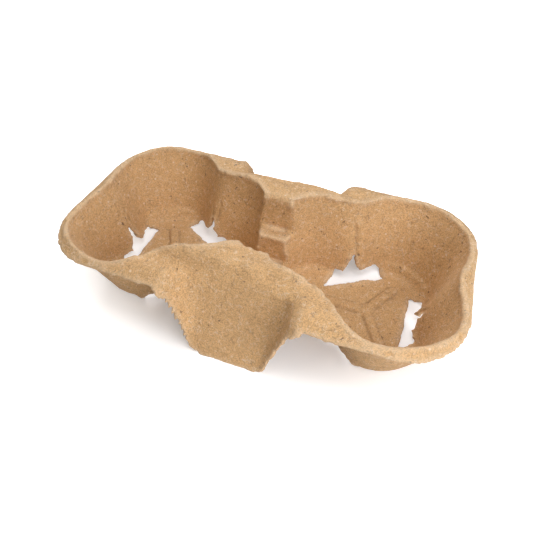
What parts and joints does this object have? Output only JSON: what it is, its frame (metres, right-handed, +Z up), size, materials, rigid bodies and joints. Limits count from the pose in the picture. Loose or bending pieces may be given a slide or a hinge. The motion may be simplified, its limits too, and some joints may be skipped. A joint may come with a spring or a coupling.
{
  "type": "cup carrier",
  "caption": "Moulded pulp drinks carrier with lobed cup pockets, a rolled flange, raised middle humps and hanging side flaps.",
  "frame": {"origin": "on the table, midway between the two cup pockets", "axes": "+X through both pockets, +Y across them, +Z up"},
  "size_m": [0.2084, 0.1142, 0.0499],
  "materials": {
    "pulp": "rough moulded recycled fibre, tan"
  },
  "bodies": {
    "root": {"carrier": "pulp"}
  },
  "joints": []
}
